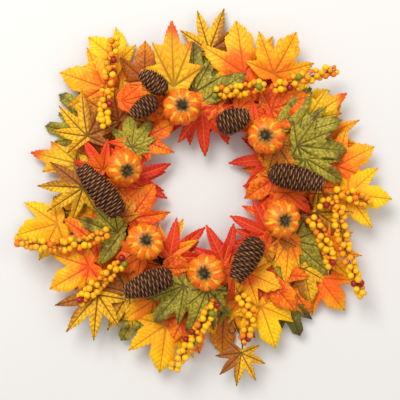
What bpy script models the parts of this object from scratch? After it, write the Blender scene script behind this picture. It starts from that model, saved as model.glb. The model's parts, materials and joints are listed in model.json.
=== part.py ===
# Harvest door wreath: a taped wire ring that carries leaf picks, pumpkins, pine cones and berry sprays.
# Lengths are metres, except the layout lists, which say what they hold. The wreath stands in the XZ plane
# with its front towards -Y, and the origin is the point inside the ring's top where a door hook carries it.
import math

import bmesh
import bpy
from mathutils import Matrix, Vector

# Driving dimensions
RING_RADIUS = 0.108
RING_TUBE = 0.008
RING_STEPS = 28
RING_SIDES = 8
GAP = 0.0003

TAPE_WALL = 0.0014
TAPE_LENGTH = 0.012
TAPE_SEGMENTS = (4, 10, 21)

PUMPKIN_RADIUS = 0.0235
PUMPKIN_HALF_DEPTH = 0.017
PUMPKIN_RIBS = 8
PUMPKIN_STAND = 0.016
DIMPLE_RADIUS = 0.0045
DIMPLE_DEPTH = 0.004
STALK_RADIUS = 0.0032
STALK_LENGTH = 0.009
POST_RADIUS = 0.0022

CONE_RADIUS = 0.0165
CONE_SIDES = 10
CONE_DEPTH = -0.043
CONE_POST_SHARE = 0.7

LEAF_THICKNESS = 0.0012
LEAF_STEP = 0.0003
PETIOLE_RADIUS = 0.0011
HUB_RADIUS = 0.003
INNER_REACH = 0.010

BERRY_RADIUS = 0.0042
BERRY_PITCH = 0.0105
SPRAY_STEM_RADIUS = 0.0012
SPRAY_REST = -0.030
SPRAY_HUB_RADIUS = 0.0022
SPRAY_HUB_DEPTH = -0.0075
SPRAY_STEPS = 6
BERRY_TURN = 0.7
BERRY_SEAT = 0.75

HANGING_LEAF_LENGTH = 0.052
HANGING_WIRE_RADIUS = 0.001
HANGING_STEM = 0.009
EYE_RADIUS = 0.0032
EYE_WIRE_RADIUS = 0.0009
EYE_SIDES = 12
PIVOT_HOUR = 5.5
PIVOT_OUTSIDE = 0.090
PIVOT_DEPTH = -0.015
PIN_OVERHANG = 0.003
WIRE_HOUR = 5.55
WIRE_RISE = 0.05

# Colours
BARK = (0.020, 0.013, 0.009)
TAPE = (0.012, 0.010, 0.008)
ORANGE = (0.80, 0.20, 0.02)
STALK = (0.060, 0.045, 0.020)
CONE_BROWN = (0.110, 0.050, 0.025)
BERRY_YELLOW = (0.85, 0.42, 0.03)
LEAF_YELLOW = (0.85, 0.45, 0.03)
LEAF_ORANGE = (0.80, 0.22, 0.02)
LEAF_RUST = (0.35, 0.11, 0.03)
LEAF_RED = (0.60, 0.03, 0.02)
LEAF_GREEN = (0.13, 0.15, 0.03)

# Pumpkins: the hour on the ring and how far outside the ring line, in mm.
PUMPKINS = ((11.55, 2), (9.55, -4), (1.65, 0), (7.6, -10), (5.9, -3), (3.65, 0))

# Pine cones: hour and mm outside the ring line of the middle, lean in degrees clockwise from straight
# outwards of the narrow end, length in mm, and the share of CONE_RADIUS it is wide.
CONES = (
    (11.2, 44, -30, 40, 0.75),
    (10.85, 22, -88, 38, 0.75),
    (0.8, -10, 45, 44, 1.0),
    (9.0, 22, 50, 84, 1.0),
    (2.75, 14, 20, 74, 1.0),
    (7.0, 30, 40, 68, 1.0),
    (4.9, -3, 62, 64, 1.0),
)

# Where the leaves that point into the middle start: mm outside the ring line, clear of the tube.
INNER = -1000 * (RING_TUBE + INNER_REACH)

# Leaves: outline, hour and mm outside the ring line of the base, lean in degrees clockwise from straight
# outwards, and length in mm. Each pick has a colour, a depth in mm and the hour where it meets the ring.
PICKS = {
    "maple_pick_top": (LEAF_ORANGE, 1, 11.5, (
        ("star", 0.1, 80, 15, 60), ("maple", 11.1, 50, 15, 60), ("maple", 11.6, 50, 0, 70))),
    "maple_pick_top_right": (LEAF_YELLOW, -4, 0.8, (
        ("maple", 0.6, 65, -25, 65), ("maple", 1.0, 75, 5, 60))),
    "maple_pick_upper_right": (LEAF_ORANGE, 1, 1.7, (
        ("star", 2.2, 70, 0, 50), ("maple", 1.8, 65, 10, 55), ("maple", 1.3, 40, 20, 45))),
    "maple_pick_right": (LEAF_YELLOW, -4, 2.9, (
        ("maple", 2.6, 75, -15, 50), ("maple", 3.1, 80, 10, 60), ("star", 3.4, 50, 25, 45))),
    "maple_pick_lower_right": (LEAF_YELLOW, 1, 4.1, (
        ("maple", 4.2, 90, 20, 50), ("star", 3.8, 70, 30, 45))),
    "maple_pick_bottom_right": (LEAF_ORANGE, -4, 4.9, (
        ("maple", 4.7, 40, 0, 50), ("maple", 5.1, 65, 5, 50), ("oak", 4.4, 60, 5, 45))),
    "maple_pick_bottom": (LEAF_RUST, 4, 5.6, (
        ("maple", 5.8, 50, 5, 55), ("maple", 5.4, 50, -5, 45))),
    "maple_pick_bottom_left": (LEAF_YELLOW, 1, 6.6, (
        ("maple", 6.2, 60, -25, 45), ("maple", 6.5, 75, -5, 60), ("maple", 6.9, 55, 30, 40))),
    "star_pick_lower_left": (LEAF_RUST, -4, 7.5, (
        ("star", 7.2, 60, -10, 50), ("star", 7.5, 90, -5, 55), ("maple", 8.0, 70, 15, 55))),
    "maple_pick_left": (LEAF_YELLOW, 1, 8.8, (
        ("maple", 8.6, 95, 0, 55), ("maple", 9.4, 60, 0, 65))),
    "star_pick_left": (LEAF_RUST, -4, 9.5, (
        ("star", 9.0, 50, 0, 55), ("star", 9.8, 60, 50, 55))),
    "maple_pick_upper_left": (LEAF_YELLOW, 3.6, 10.8, (
        ("maple", 10.9, 95, 0, 50), ("maple", 10.5, 85, -25, 60))),
    "green_pick_upper_left": (LEAF_GREEN, 6.2, 10.1, (
        ("oak", 10.2, 65, 5, 50), ("oak", 9.8, 65, -20, 40))),
    "green_pick_top": (LEAF_GREEN, 5, 0.1, (
        ("oak", 11.9, 30, 0, 60), ("leaf", 0.2, 20, 55, 50))),
    "green_pick_right": (LEAF_GREEN, 5, 2.2, (
        ("oak", 1.8, 35, -15, 50), ("oak", 2.1, 40, 25, 70), ("oak", 2.5, 45, 45, 50))),
    "green_pick_lower_left": (LEAF_GREEN, 5, 8.2, (
        ("leaf", 8.4, 20, 30, 55), ("leaf", 8.0, 20, -25, 45))),
    "green_pick_lower_right": (LEAF_GREEN, 5, 4.3, (
        ("oak", 4.1, 30, 15, 60), ("leaf", 4.6, 25, 10, 40))),
    "green_pick_bottom": (LEAF_GREEN, -4, 6.2, (
        ("oak", 6.4, 30, 25, 55), ("oak", 6.0, 30, 0, 55))),
    "orange_pick_upper_left": (LEAF_ORANGE, -1.5, 10.4, (
        ("maple", 10.9, 30, 15, 45), ("leaf", 10.3, 35, -30, 40))),
    "red_pick_top": (LEAF_RED, -14, 0.1, (("red", 0.0, -8, 175, 50),)),
    "red_pick_upper_right": (LEAF_RED, 0, 2.4, (
        ("red", 2.2, INNER, -160, 50), ("maple", 2.9, INNER, -170, 35))),
    "red_pick_lower_right": (LEAF_RED, 0, 4.1, (("red", 4.1, INNER, 170, 45),)),
    "red_pick_bottom": (LEAF_RED, 0, 5.4, (("red", 5.4, INNER, 175, 45),)),
    "red_pick_lower_left": (LEAF_RED, 0, 6.9, (("red", 6.9, INNER, -155, 50),)),
    "red_pick_left": (LEAF_RED, 0, 9.0, (
        ("red", 9.2, INNER, 155, 50), ("maple", 8.3, INNER, 150, 40))),
}

# Berry sprays: hour and mm outside the ring line of the root, the middle and the tip.
SPRAYS = {
    "berry_spray_top_left": ((10.15, 48), (10.6, 75), (11.0, 120)),
    "berry_spray_top": ((0.2, 20), (0.75, 35), (1.0, 58)),
    "berry_spray_top_right": ((1.1, 40), (1.4, 85), (1.6, 125)),
    "berry_spray_right": ((3.05, 62), (3.05, 85), (3.15, 108)),
    "berry_spray_lower_right_1": ((3.45, 30), (3.65, 55), (4.0, 85)),
    "berry_spray_lower_right_2": ((3.2, 70), (3.7, 90), (4.1, 140)),
    "berry_spray_bottom_1": ((5.35, 35), (5.3, 65), (5.5, 95)),
    "berry_spray_bottom_2": ((5.75, 35), (6.0, 65), (6.3, 125)),
    "berry_spray_lower_left": ((7.6, 50), (7.6, 80), (7.6, 105)),
    "berry_spray_left": ((8.2, 45), (8.3, 90), (8.5, 140)),
}

# Half outlines, base to tip, as (across, along) shares of the leaf's length.
OUTLINES = {
    "maple": (
        (0.05, 0.0), (0.30, -0.10), (0.26, 0.12), (0.58, 0.34), (0.30, 0.40), (0.16, 0.60), (0.24, 0.74)),
    "star": ((0.04, 0.0), (0.34, -0.14), (0.12, 0.12), (0.58, 0.36), (0.12, 0.30), (0.09, 0.55)),
    "red": ((0.04, 0.0), (0.30, 0.02), (0.12, 0.18), (0.42, 0.52), (0.12, 0.40), (0.11, 0.62)),
    "oak": ((0.04, 0.0), (0.24, 0.10), (0.14, 0.26), (0.34, 0.46), (0.18, 0.56), (0.24, 0.76)),
    "leaf": ((0.04, 0.0), (0.22, 0.22), (0.26, 0.45), (0.16, 0.75)),
}


def clear_scene():
    for item in list(bpy.data.objects):
        bpy.data.objects.remove(item, do_unlink=True)


def make_material(name, colour, roughness, metallic=0.0):
    material = bpy.data.materials.new(name)
    material.use_nodes = True
    shader = material.node_tree.nodes["Principled BSDF"]
    shader.inputs["Base Color"].default_value = (*colour, 1.0)
    shader.inputs["Roughness"].default_value = roughness
    shader.inputs["Metallic"].default_value = metallic
    return material


def add_object(name, mesh_data, material, smooth=False, origin=(0.0, 0.0, 0.0)):
    """Turn a bmesh in world coordinates into an object whose origin is the given point."""
    bmesh.ops.translate(mesh_data, verts=mesh_data.verts, vec=-Vector(origin))
    bmesh.ops.recalc_face_normals(mesh_data, faces=mesh_data.faces)
    mesh = bpy.data.meshes.new(name)
    mesh_data.to_mesh(mesh)
    mesh_data.free()
    if smooth:
        mesh.shade_smooth()
        mesh.set_sharp_from_angle(angle=math.radians(40))
    item = bpy.data.objects.new(name, mesh)
    item.location = origin
    bpy.context.scene.collection.objects.link(item)
    mesh.materials.append(material)
    return item


def join_shells(item, centre, radius):
    """Union every shell of an object with a ball at the centre, so that the result is one closed body."""
    mesh_data = bmesh.new()
    bmesh.ops.create_icosphere(mesh_data, subdivisions=1, radius=radius)
    bmesh.ops.rotate(mesh_data, verts=mesh_data.verts, matrix=Matrix.Rotation(0.31, 3, "X"))
    bmesh.ops.translate(mesh_data, verts=mesh_data.verts, vec=centre)
    ball = add_object(item.name + "_hub", mesh_data, item.data.materials[0])
    ball.hide_render = True
    ball.display_type = "WIRE"
    union = item.modifiers.new("union", "BOOLEAN")
    union.operation = "UNION"
    union.object = ball
    union.use_self = True


def ring_point(hour, outside, depth=0.0):
    """The point at an hour on the ring, so far outside the ring line and at a depth, all in metres."""
    angle = math.radians(30.0 * hour)
    radius = RING_RADIUS + outside
    centre_height = RING_TUBE - RING_RADIUS
    return Vector((radius * math.sin(angle), depth, radius * math.cos(angle) + centre_height))


def heading(hour, lean):
    """The unit direction in the ring's plane that leans so many degrees clockwise from outwards."""
    angle = math.radians(30.0 * hour + lean)
    return Vector((math.sin(angle), 0.0, math.cos(angle)))


def add_rod(mesh_data, start, end, radius, sides=6):
    """Add a closed straight rod between two points."""
    run = end - start
    turn = Vector((0.0, 0.0, 1.0)).rotation_difference(run).to_matrix().to_4x4()
    place = Matrix.Translation((start + end) / 2) @ turn
    bmesh.ops.create_cone(mesh_data, cap_ends=True, segments=sides, radius1=radius, radius2=radius,
                          depth=run.length, matrix=place)


def add_tube(mesh_data, points, radius, sides=5):
    """Add one closed tube through a list of points that run roughly along the ring's plane."""
    rows = []
    for index, point in enumerate(points):
        before = points[max(index - 1, 0)]
        after = points[min(index + 1, len(points) - 1)]
        run = (after - before).normalized()
        across = run.cross(Vector((0.0, 1.0, 0.0))).normalized()
        up = across.cross(run)
        row = []
        for side in range(sides):
            angle = 2 * math.pi * side / sides
            spoke = across * math.cos(angle) + up * math.sin(angle)
            row.append(mesh_data.verts.new(point + spoke * radius))
        rows.append(row)
    for lower, upper in zip(rows, rows[1:]):
        for side in range(sides):
            after = (side + 1) % sides
            mesh_data.faces.new((lower[side], lower[after], upper[after], upper[side]))
    mesh_data.faces.new(list(reversed(rows[0])))
    mesh_data.faces.new(rows[-1])


def add_turned(mesh_data, profile, place, sides, ribs=0, rib_depth=0.0):
    """Add a closed turned solid from (radius, height) points about local Z, with optional ribs."""
    rows = []
    for radius, height in profile:
        row = []
        for step in range(sides):
            angle = 2 * math.pi * step / sides
            swell = 1.0 + rib_depth * math.cos(ribs * angle)
            point = Vector((radius * swell * math.cos(angle), radius * swell * math.sin(angle), height))
            row.append(mesh_data.verts.new(place @ point))
        rows.append(row)
    for lower, upper in zip(rows, rows[1:]):
        for step in range(sides):
            after = (step + 1) % sides
            mesh_data.faces.new((lower[step], lower[after], upper[after], upper[step]))
    mesh_data.faces.new(list(reversed(rows[0])))
    mesh_data.faces.new(rows[-1])


def make_ring():
    mesh_data = bmesh.new()
    rows = []
    for step in range(RING_STEPS):
        hour = 12.0 * step / RING_STEPS
        row = []
        for side in range(RING_SIDES):
            angle = 2 * math.pi * (side + 0.5) / RING_SIDES
            row.append(mesh_data.verts.new(
                ring_point(hour, RING_TUBE * math.cos(angle), RING_TUBE * math.sin(angle))))
        rows.append(row)
    for step, row in enumerate(rows):
        following = rows[(step + 1) % RING_STEPS]
        for side in range(RING_SIDES):
            after = (side + 1) % RING_SIDES
            mesh_data.faces.new((row[side], row[after], following[after], following[side]))
    add_object("ring_frame", mesh_data, make_material("ring_bark", BARK, 0.85), smooth=True)


def make_tapes():
    """Short sleeves of floral tape, each around the middle of one straight segment of the ring."""
    material = make_material("tape", TAPE, 0.7)
    inner = RING_TUBE + GAP / math.cos(math.pi / RING_SIDES)
    outer = inner + TAPE_WALL
    sag = RING_RADIUS * (1 - math.cos(math.pi / RING_STEPS))
    for number, segment in enumerate(TAPE_SEGMENTS, start=1):
        hour = 12.0 * (segment + 0.5) / RING_STEPS
        mesh_data = bmesh.new()
        rows = []
        for radius, end in ((inner, -0.5), (inner, 0.5), (outer, 0.5), (outer, -0.5)):
            row = []
            for side in range(RING_SIDES):
                angle = 2 * math.pi * (side + 0.5) / RING_SIDES
                centre = ring_point(hour, radius * math.cos(angle) - sag, radius * math.sin(angle))
                row.append(mesh_data.verts.new(centre + heading(hour, 90) * end * TAPE_LENGTH))
            rows.append(row)
        for index, row in enumerate(rows):
            following = rows[(index + 1) % len(rows)]
            for side in range(RING_SIDES):
                after = (side + 1) % RING_SIDES
                mesh_data.faces.new((row[side], row[after], following[after], following[side]))
        add_object(f"floral_tape_{number}", mesh_data, material)


def front_place(hour, outside, depth):
    """A placement whose local Z points to the front, at a ring position."""
    return Matrix.Translation(ring_point(hour, outside, depth)) @ Matrix.Rotation(math.pi / 2, 4, "X")


def make_pumpkins():
    skin = make_material("pumpkin_skin", ORANGE, 0.45)
    wood = make_material("pumpkin_stalk", STALK, 0.9)
    half = PUMPKIN_HALF_DEPTH
    wide = PUMPKIN_RADIUS
    floor = half - DIMPLE_DEPTH
    profile = ((wide * 0.35, -half), (wide * 0.85, -half * 0.65), (wide, 0.0), (wide * 0.86, half * 0.62),
               (wide * 0.5, half), (DIMPLE_RADIUS, floor))
    ring_front = -RING_TUBE - GAP
    for number, (hour, outside) in enumerate(PUMPKINS, start=1):
        place = front_place(hour, outside / 1000, ring_front - PUMPKIN_STAND - half)
        mesh_data = bmesh.new()
        add_turned(mesh_data, profile, place, PUMPKIN_RIBS * 2, PUMPKIN_RIBS, 0.05)
        centre = place.translation
        foot = Vector((centre.x, ring_front, centre.z))
        add_rod(mesh_data, foot, Vector((centre.x, centre.y, centre.z)), POST_RADIUS)
        body = add_object(f"pumpkin_{number}", mesh_data, skin, smooth=True)
        join_shells(body, centre, half * 0.3)
        stalk = bmesh.new()
        seat = floor + GAP
        add_turned(stalk, ((STALK_RADIUS, seat), (STALK_RADIUS * 0.7, seat + STALK_LENGTH * 0.5),
                           (STALK_RADIUS * 0.9, seat + STALK_LENGTH)), place, 8)
        add_object(f"pumpkin_stalk_{number}", stalk, wood, smooth=True)


def make_cones():
    material = make_material("pine_cone", CONE_BROWN, 0.8)
    for number, (hour, outside, lean, length, girth) in enumerate(CONES, start=1):
        middle = ring_point(hour, outside / 1000, CONE_DEPTH)
        along = heading(hour, lean)
        turn = Vector((0.0, 0.0, 1.0)).rotation_difference(along).to_matrix().to_4x4()
        place = Matrix.Translation(middle) @ turn
        half = length / 2000
        wide = CONE_RADIUS * girth
        profile = ((wide * 0.45, -half), (wide * 0.92, -half * 0.7), (wide, -half * 0.2),
                   (wide * 0.78, half * 0.45), (wide * 0.25, half))
        mesh_data = bmesh.new()
        add_turned(mesh_data, profile, place, CONE_SIDES)
        foot = ring_point(hour, 0.0, -RING_TUBE - GAP - POST_RADIUS)
        slide = max(-half * CONE_POST_SHARE, min(half * CONE_POST_SHARE, (foot - middle).dot(along)))
        add_rod(mesh_data, foot, middle + along * slide, POST_RADIUS)
        body = add_object(f"pine_cone_{number}", mesh_data, material, smooth=True)
        join_shells(body, middle, wide * 0.3)


def add_leaf(mesh_data, outline, base, along, length):
    """Add one flat closed leaf plate in the XZ plane."""
    across = Vector((along.z, 0.0, -along.x))
    half = OUTLINES[outline]
    points = [(side * sign, rise) for sign, row in ((1, half), (-1, reversed(half))) for side, rise in row]
    points.insert(len(half), (0.0, 1.0))
    rows = []
    for depth in (-LEAF_THICKNESS / 2, LEAF_THICKNESS / 2):
        lift = Vector((0.0, depth, 0.0))
        rows.append([mesh_data.verts.new(base + (across * side + along * rise) * length + lift)
                     for side, rise in points])
    mesh_data.faces.new(rows[0])
    mesh_data.faces.new(list(reversed(rows[1])))
    for index in range(len(points)):
        after = (index + 1) % len(points)
        mesh_data.faces.new((rows[0][index], rows[0][after], rows[1][after], rows[1][index]))


def make_picks():
    for name, (colour, depth, hub_hour, leaves) in PICKS.items():
        seat = RING_TUBE + GAP + HUB_RADIUS
        if depth / 1000 < -seat:
            hub = ring_point(hub_hour, 0.0, -seat)
        else:
            side = -1 if leaves[0][2] < 0 else 1
            hub = ring_point(hub_hour, side * seat, depth / 1000)
        mesh_data = bmesh.new()
        for order, (outline, hour, outside, lean, length) in enumerate(leaves):
            base = ring_point(hour, outside / 1000, depth / 1000 - order * LEAF_STEP)
            along = heading(hour, lean)
            size = length / 1000
            add_leaf(mesh_data, outline, base, along, size)
            add_rod(mesh_data, hub, base + along * size * 0.15, PETIOLE_RADIUS)
        item = add_object(name, mesh_data, make_material(name, colour, 0.7))
        join_shells(item, hub, HUB_RADIUS)


def curve_point(points, share):
    """A point on the smooth arc from the first of three points through the second to the third."""
    first, middle, last = points
    pull = middle * 2 - (first + last) / 2
    return first * (1 - share) ** 2 + pull * 2 * share * (1 - share) + last * share ** 2


def make_sprays():
    material = make_material("berries", BERRY_YELLOW, 0.3)
    for name, stations in SPRAYS.items():
        points = [ring_point(hour, outside / 1000, SPRAY_REST) for hour, outside in stations]
        root = ring_point(stations[0][0], RING_TUBE + GAP + SPRAY_HUB_RADIUS, SPRAY_HUB_DEPTH)
        span = (points[1] - points[0]).length + (points[2] - points[1]).length
        count = int(span / BERRY_PITCH)
        mesh_data = bmesh.new()
        stops = [root] + [curve_point(points, step / SPRAY_STEPS) for step in range(SPRAY_STEPS + 1)]
        add_tube(mesh_data, stops, SPRAY_STEM_RADIUS)
        for number in range(count):
            share = (number + 0.5) / count
            centre = curve_point(points, share)
            ahead = (curve_point(points, share + 0.02) - centre).normalized()
            across = Vector((ahead.z, 0.0, -ahead.x)) * (1 if number % 2 else -1)
            spot = centre + across * BERRY_RADIUS * BERRY_SEAT
            turn = Matrix.Rotation(BERRY_TURN * number, 4, "Y")
            bmesh.ops.create_icosphere(mesh_data, subdivisions=1, radius=BERRY_RADIUS,
                                       matrix=Matrix.Translation(spot) @ turn)
        item = add_object(name, mesh_data, material, smooth=True, origin=root)
        join_shells(item, root, SPRAY_HUB_RADIUS)


def make_hanging_leaf():
    """A leaf whose wire eye hangs on the bent end of a long wire, so that the leaf swings sideways."""
    pivot = ring_point(PIVOT_HOUR, PIVOT_OUTSIDE, PIVOT_DEPTH)
    root = ring_point(WIRE_HOUR, RING_TUBE + GAP + SPRAY_HUB_RADIUS, SPRAY_HUB_DEPTH)
    back = pivot + Vector((0.0, PIN_OVERHANG, 0.0))
    front = pivot - Vector((0.0, PIN_OVERHANG, 0.0))
    wire = bmesh.new()
    add_tube(wire, (root, ring_point(WIRE_HOUR, WIRE_RISE, back.y), back), HANGING_WIRE_RADIUS)
    add_rod(wire, back + Vector((0.0, HANGING_WIRE_RADIUS, 0.0)), front, HANGING_WIRE_RADIUS)
    item = add_object("hanging_leaf_wire", wire, make_material("hanging_wire", BARK, 0.6))
    join_shells(item, root, SPRAY_HUB_RADIUS)

    leaf = bmesh.new()
    rows = []
    for step in range(EYE_SIDES):
        turn = 2 * math.pi * step / EYE_SIDES
        spoke = Vector((math.sin(turn), 0.0, math.cos(turn)))
        row = []
        for side in range(6):
            angle = 2 * math.pi * side / 6
            offset = spoke * math.cos(angle) + Vector((0.0, math.sin(angle), 0.0))
            row.append(leaf.verts.new(pivot + spoke * EYE_RADIUS + offset * EYE_WIRE_RADIUS))
        rows.append(row)
    for step, row in enumerate(rows):
        following = rows[(step + 1) % EYE_SIDES]
        for side in range(6):
            after = (side + 1) % 6
            leaf.faces.new((row[side], row[after], following[after], following[side]))
    down = Vector((0.0, 0.0, -1.0))
    neck = pivot + down * (EYE_RADIUS + EYE_WIRE_RADIUS * 0.5)
    base = pivot + down * (EYE_RADIUS + HANGING_STEM)
    add_leaf(leaf, "star", base, down, HANGING_LEAF_LENGTH)
    knot = pivot + down * (EYE_RADIUS + HANGING_STEM * 0.4)
    add_rod(leaf, neck, base + down * HANGING_LEAF_LENGTH * 0.15, PETIOLE_RADIUS)
    item = add_object("hanging_leaf", leaf, make_material("hanging_leaf", LEAF_RUST, 0.7), origin=pivot)
    join_shells(item, knot, PETIOLE_RADIUS * 1.4)


clear_scene()
make_ring()
make_tapes()
make_pumpkins()
make_cones()
make_picks()
make_sprays()
make_hanging_leaf()
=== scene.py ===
import bmesh
import bpy
import json
import math
import random
from mathutils import Matrix, Vector


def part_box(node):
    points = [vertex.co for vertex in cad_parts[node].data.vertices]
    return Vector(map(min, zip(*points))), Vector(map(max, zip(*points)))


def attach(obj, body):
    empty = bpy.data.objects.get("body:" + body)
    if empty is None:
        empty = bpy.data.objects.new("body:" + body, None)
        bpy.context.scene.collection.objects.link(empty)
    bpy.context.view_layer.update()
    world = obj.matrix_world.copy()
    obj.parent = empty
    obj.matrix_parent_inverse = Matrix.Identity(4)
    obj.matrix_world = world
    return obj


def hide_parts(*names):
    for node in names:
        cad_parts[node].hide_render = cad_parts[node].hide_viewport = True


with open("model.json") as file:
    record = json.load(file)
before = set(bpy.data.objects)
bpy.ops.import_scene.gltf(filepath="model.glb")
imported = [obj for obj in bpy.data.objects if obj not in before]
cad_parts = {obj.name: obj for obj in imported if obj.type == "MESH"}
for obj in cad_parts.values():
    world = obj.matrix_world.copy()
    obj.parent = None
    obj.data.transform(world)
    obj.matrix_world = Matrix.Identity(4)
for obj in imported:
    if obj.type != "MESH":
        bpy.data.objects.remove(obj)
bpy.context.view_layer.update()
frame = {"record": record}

chance = random.Random(31)

# the ring's own sizes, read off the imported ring
ringLow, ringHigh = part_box("ring_frame")
ringTube = (ringHigh[1] - ringLow[1]) / 2 / math.cos(math.pi / 8)
ringRadius = (ringHigh[0] - ringLow[0]) / 2 - ringTube
ringHeight = (ringHigh[2] + ringLow[2]) / 2
ringBody = "ring"
towardsFront = Vector((0, -1, 0))
turnToFront = Matrix.Rotation(math.pi / 2, 4, "X")
anyTurn = (0, 6.28)


def bodyOf(node):
    for body, nodes in frame["record"]["behaviour"]["bodies"].items():
        if node in nodes:
            return body
    return ringBody


def clockPoint(hour, outside, depth=0.0):
    # hour as on a clock, mm outside the ring line, mm of depth with the front at minus
    turn = math.radians(30 * hour)
    reach = ringRadius + outside / 1000
    return Vector((reach * math.sin(turn), depth / 1000, reach * math.cos(turn) + ringHeight))


def clockHeading(hour, lean):
    turn = math.radians(30 * hour + lean)
    return Vector((math.sin(turn), 0, math.cos(turn)))


def addObject(name, shape, materials):
    mesh = bpy.data.meshes.new(name)
    shape.to_mesh(mesh)
    shape.free()
    for material in materials:
        mesh.materials.append(material)
    item = bpy.data.objects.new(name, mesh)
    bpy.context.scene.collection.objects.link(item)
    return item


def finishPiece(name, shape, materials, node, smooth=True):
    # a finished bmesh becomes the piece that stands for one node of the frame
    piece = addObject(name, shape, materials)
    if smooth:
        piece.data.shade_smooth()
    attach(piece, bodyOf(node))
    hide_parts(node)


def jointPlace(node):
    joints = frame["record"]["behaviour"]["joints"]
    return Vector(next(joint["pos_m"] for joint in joints if joint["child"] == node))


class Nodes:
    # one material's shader nodes, with a short call for each kind that the paints use
    def __init__(self, name):
        self.material = bpy.data.materials.new(name)
        self.material.use_nodes = True
        self.tree = self.material.node_tree
        self.shader = self.tree.nodes["Principled BSDF"]

    def add(self, kind, **settings):
        node = self.tree.nodes.new(kind)
        for key, value in settings.items():
            setattr(node, key, value)
        return node

    def join(self, source, target):
        self.tree.links.new(source, target)

    def put(self, socket, value):
        if isinstance(value, bpy.types.NodeSocket):
            self.join(value, socket)
        else:
            socket.default_value = value

    def fill(self, node, values):
        for socket, value in zip(node.inputs, values):
            self.put(socket, value)

    def calc(self, operation, first, second=0.0, third=0.0):
        node = self.add("ShaderNodeMath", operation=operation)
        self.fill(node, (first, second, third))
        return node.outputs[0]

    def mix(self, share, first, second):
        node = self.add("ShaderNodeMix", data_type="RGBA")
        for place, value in ((0, share), (6, first), (7, second)):
            self.put(node.inputs[place], (*value, 1) if isinstance(value, tuple) else value)
        return node.outputs[2]

    def over(self, colour, share, strength, coat):
        # a second colour laid over the first where share says, and no stronger than strength
        return self.mix(self.calc("MULTIPLY", share, strength), colour, coat)

    def ramp(self, value, low, high, start=0.0, end=1.0):
        node = self.add("ShaderNodeMapRange", interpolation_type="SMOOTHSTEP")
        self.fill(node, (value, low, high, start, end))
        return node.outputs[0]

    def noise(self, scale, detail=3.0, rough=0.55, vector=None):
        node = self.add("ShaderNodeTexNoise")
        node.inputs["Scale"].default_value = scale
        node.inputs["Detail"].default_value = detail
        node.inputs["Roughness"].default_value = rough
        if vector is None:
            vector = self.add("ShaderNodeTexCoord").outputs["Object"]
        self.join(vector, node.inputs["Vector"])
        return node.outputs["Fac"]

    def layer(self, name):
        split = self.add("ShaderNodeSeparateXYZ")
        self.join(self.add("ShaderNodeUVMap", uv_map=name).outputs[0], split.inputs[0])
        return split.outputs

    def bump(self, height, strength, distance):
        node = self.add("ShaderNodeBump")
        node.inputs["Strength"].default_value = strength
        node.inputs["Distance"].default_value = distance
        self.join(height, node.inputs["Height"])
        self.join(node.outputs[0], self.shader.inputs["Normal"])

    def done(self, colour, roughness, specular):
        self.put(self.shader.inputs["Base Color"], colour)
        self.put(self.shader.inputs["Roughness"], roughness)
        self.shader.inputs["Specular IOR Level"].default_value = specular
        return self.material


# half outlines from the tip round to the stem: degrees from the tip as seen from where the veins meet, and
# share of the leaf's length; a lobe's tip is marked, and a main vein runs to it
leafOutlines = {
    "maple": ((0, 1.0, "tip"), (5, 0.90), (11, 0.85), (13, 0.78), (20, 0.75), (24, 0.67), (27, 0.57),
              (31, 0.50), (37, 0.58), (41, 0.68), (44, 0.79), (49, 0.94, "tip"), (54, 0.82), (60, 0.77),
              (64, 0.66), (72, 0.60), (80, 0.46), (88, 0.53), (96, 0.68, "tip"), (103, 0.53), (114, 0.42),
              (130, 0.34), (150, 0.24), (180, 0.12)),
    "star": ((0, 1.0, "tip"), (5, 0.80), (10, 0.68), (14, 0.57), (18, 0.44), (24, 0.54), (30, 0.70),
             (34, 0.82), (37, 0.93, "tip"), (41, 0.78), (46, 0.65), (51, 0.53), (56, 0.40), (63, 0.50),
             (69, 0.64), (76, 0.80, "tip"), (82, 0.62), (90, 0.48), (98, 0.33), (106, 0.40), (114, 0.50),
             (122, 0.61, "tip"), (132, 0.40), (146, 0.22), (180, 0.10)),
    "broad": ((0, 1.0, "tip"), (5, 0.87), (9, 0.75), (12, 0.66), (19, 0.68), (25, 0.75, "tip"), (28, 0.63),
              (32, 0.51), (36, 0.43), (44, 0.46), (52, 0.51), (60, 0.54, "tip"), (66, 0.40), (78, 0.29),
              (100, 0.24), (130, 0.18), (180, 0.09)),
    "red": ((0, 1.0, "tip"), (6, 0.82), (11, 0.66), (15, 0.54), (20, 0.42), (28, 0.51), (36, 0.70),
            (42, 0.88, "tip"), (49, 0.67), (57, 0.49), (66, 0.34), (76, 0.41), (88, 0.58, "tip"),
            (100, 0.37), (118, 0.22), (150, 0.14), (180, 0.08)),
    "oak": ((0, 1.0, "tip"), (5, 0.93), (9, 0.90), (12, 0.79), (15, 0.66), (20, 0.58), (25, 0.70),
            (30, 0.85, "tip"), (35, 0.75), (41, 0.58), (47, 0.46), (55, 0.56), (63, 0.70, "tip"),
            (70, 0.57), (78, 0.42), (88, 0.36), (98, 0.44), (106, 0.49, "tip"), (117, 0.36), (132, 0.26),
            (150, 0.18), (180, 0.10)),
    "leaf": ((0, 1.0, "tip"), (6, 0.91), (12, 0.77), (20, 0.60), (30, 0.43), (45, 0.29), (65, 0.19),
             (90, 0.13), (130, 0.08), (180, 0.06)),
}

# the mesh's steps, the rim's teeth and how the cloth is pressed: bend is drawn at random, widest is the angle
# from a vein past which a pleat grows no more, and what lies behind backLimit is pressed forward
leafMake = {"stepsPerEdge": 4, "rings": 6, "tooth": 0.045, "toothPower": 8, "thickness": 0.00035,
            "bend": (0.5, 1.2), "roll": 14, "pleat": 0.22, "pleatReach": 0.14, "widest": 1.5, "droop": 0.26,
            "wave": 0.045, "ripple": 0.015, "curl": {"oak": 2.1, "leaf": 1.4},
            "backLimit": 0.0065, "backPress": 0.75}


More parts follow.
